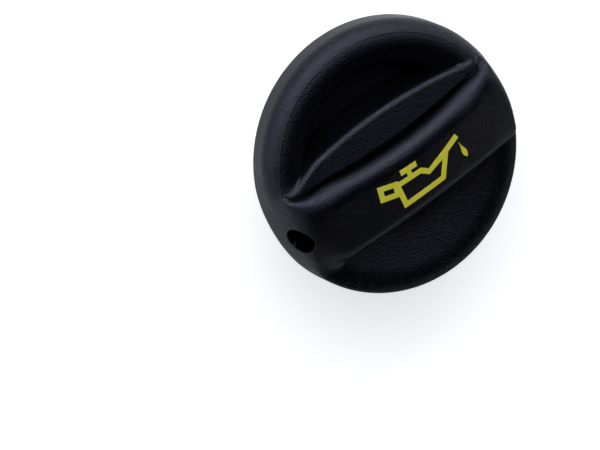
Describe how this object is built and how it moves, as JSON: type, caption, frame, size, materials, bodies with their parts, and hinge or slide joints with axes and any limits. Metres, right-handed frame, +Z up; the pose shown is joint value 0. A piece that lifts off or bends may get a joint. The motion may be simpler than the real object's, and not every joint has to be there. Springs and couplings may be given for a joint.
{
  "type": "oil filler cap",
  "caption": "Round black oil filler cap with a raised grip bar, a finger recess, a bayonet neck and a seal ring.",
  "frame": {"origin": "on the cap's axis, in the plane of the neck's open end, which it stands on", "axes": "+Z up the cap's axis, X along the grip bar with the end hole at -X, +Y towards the finger recess"},
  "size_m": [0.062, 0.062, 0.0328],
  "materials": {
    "body_plastic": "fine spark-eroded grain, satin black",
    "seal_rubber": "matt black moulded rubber"
  },
  "bodies": {
    "root": {"cap_body": "body_plastic", "seal_ring": "seal_rubber"}
  },
  "joints": []
}
